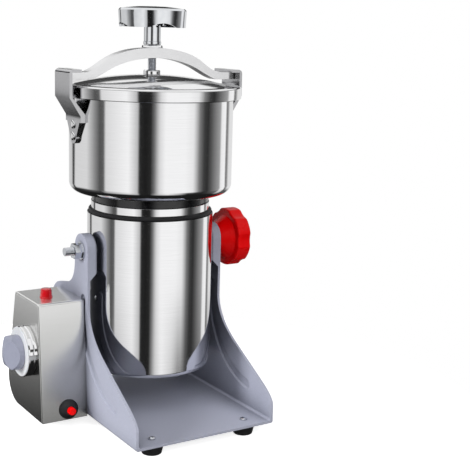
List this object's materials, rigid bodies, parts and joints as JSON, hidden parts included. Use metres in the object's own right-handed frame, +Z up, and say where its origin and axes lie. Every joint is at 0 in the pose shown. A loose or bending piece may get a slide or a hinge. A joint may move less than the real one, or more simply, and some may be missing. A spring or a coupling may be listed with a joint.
{
  "type": "electric grain mill",
  "caption": "Swing-type grain mill: clamped round grinding bowl on a motor head that tilts between sheet steel arms, with a side control box.",
  "frame": {"origin": "on the table, under the middle of the whole mill's bounding box", "axes": "+Z up along the bowl and motor axis, +X to the operator's right (the lock knob's side), -Y to the front"},
  "size_m": [0.3004, 0.245, 0.484],
  "materials": {
    "coated_steel": "satin powder coat, pale lavender grey",
    "polished_stainless": "mirror polished stainless",
    "satin_stainless": "fine satin stainless",
    "zinc_steel": "bright zinc",
    "bare_steel": "machined",
    "dark_casting": "black enamelled casting",
    "cast_aluminium": "as cast",
    "copper_wire": "varnished copper",
    "bright_brass": "machined",
    "carbon": "pressed carbon",
    "black_rubber": "matt",
    "clear_silicone": "milky silicone",
    "red_phenolic": "gloss red",
    "red_lens": "translucent red",
    "black_plastic": "moulded",
    "white_plastic": "moulded",
    "grey_plastic": "lavender grey, moulded"
  },
  "bodies": {
    "frame": {"base_frame": "coated_steel", "rubber_feet": "black_rubber", "foot_screws": "zinc_steel", "control_box": "satin_stainless", "box_screws": "zinc_steel", "timer_body": "white_plastic", "timer_collar": "polished_stainless", "timer_dial": "white_plastic", "lamp_lens": "red_lens", "lamp_body": "black_plastic", "breaker_body": "black_plastic", "breaker_boot": "black_rubber", "terminal_block": "white_plastic", "cord_inlet": "black_rubber"},
    "head": {"motor_housing": "polished_stainless", "trunnions": "bare_steel", "pivot_stud": "zinc_steel", "pivot_nut": "zinc_steel", "neck_spacer": "black_rubber", "neck_collar": "polished_stainless", "upper_shield": "dark_casting", "neck_screws": "zinc_steel", "lower_shield": "cast_aluminium", "stator_core": "bare_steel", "field_coils": "copper_wire", "brush_holders": "bright_brass", "carbon_brushes": "carbon", "bearing_outer_rings": "bare_steel", "bowl": "polished_stainless", "bowl_rim": "polished_stainless", "bowl_screws": "zinc_steel", "shaft_seal": "black_rubber", "bracket_right": "satin_stainless", "bracket_left": "satin_stainless", "bracket_rivets": "satin_stainless"},
    "rotor": {"motor_shaft": "bare_steel", "armature_core": "bare_steel", "armature_windings": "copper_wire", "commutator": "bright_brass", "cooling_fan": "black_plastic", "bearing_inner_rings": "bare_steel", "lower_blade": "satin_stainless", "middle_blade": "satin_stainless", "upper_blade": "satin_stainless", "blade_spacers": "satin_stainless", "blade_nut": "satin_stainless"},
    "bar": {"clamp_bar": "satin_stainless", "bar_bush": "polished_stainless"},
    "lid": {"lid": "polished_stainless", "lid_skirt": "polished_stainless", "lid_gasket": "clear_silicone", "lid_boss": "polished_stainless"},
    "handwheel": {"handwheel_cap": "polished_stainless", "clamp_spindle": "polished_stainless"},
    "lock_knob": {"lock_knob": "red_phenolic", "lock_stud": "zinc_steel"},
    "timer_knob": {"timer_knob": "grey_plastic", "timer_shaft": "bare_steel"},
    "reset_button": {"reset_button": "red_phenolic"}
  },
  "joints": [
    {"name": "head_tilt", "type": "hinge", "parent": "frame", "child": "head", "pos_m": [0.0272, 0.0185, 0.207], "axis": [1, 0, 0], "range_deg": [-15, 100]},
    {"name": "rotor_spin", "type": "hinge", "parent": "head", "child": "rotor", "pos_m": [0.0272, 0.0185, 0.165], "axis": [0, 0, 1], "continuous": true},
    {"name": "bar_swing", "type": "hinge", "parent": "head", "child": "bar", "pos_m": [0.0272, 0.0185, 0.42], "axis": [0, 0, 1], "range_deg": [0, 80]},
    {"name": "lid_lift", "type": "slide", "parent": "bar", "child": "lid", "axis": [0, 0, 1], "range_m": [0, 0.003]},
    {"name": "handwheel_turn", "type": "hinge", "parent": "lid", "child": "handwheel", "pos_m": [0.0272, 0.0185, 0.44], "axis": [0, 0, 1], "range_deg": [0, 720]},
    {"name": "lock_knob_turn", "type": "hinge", "parent": "frame", "child": "lock_knob", "pos_m": [0.1372, 0.0185, 0.207], "axis": [1, 0, 0], "range_deg": [0, 360]},
    {"name": "timer_turn", "type": "hinge", "parent": "frame", "child": "timer_knob", "pos_m": [-0.1328, 0.0385, 0.0905], "axis": [1, 0, 0], "range_deg": [0, 300]},
    {"name": "reset_press", "type": "slide", "parent": "frame", "child": "reset_button", "axis": [0, 0.9979, -0.0646], "range_m": [0, 0.0025], "stiffness_N_per_m": 800}
  ],
  "couplings": [
    {"joint": "lid_lift", "follows": "handwheel_turn", "m_per_rad": 0.00023873}
  ]
}
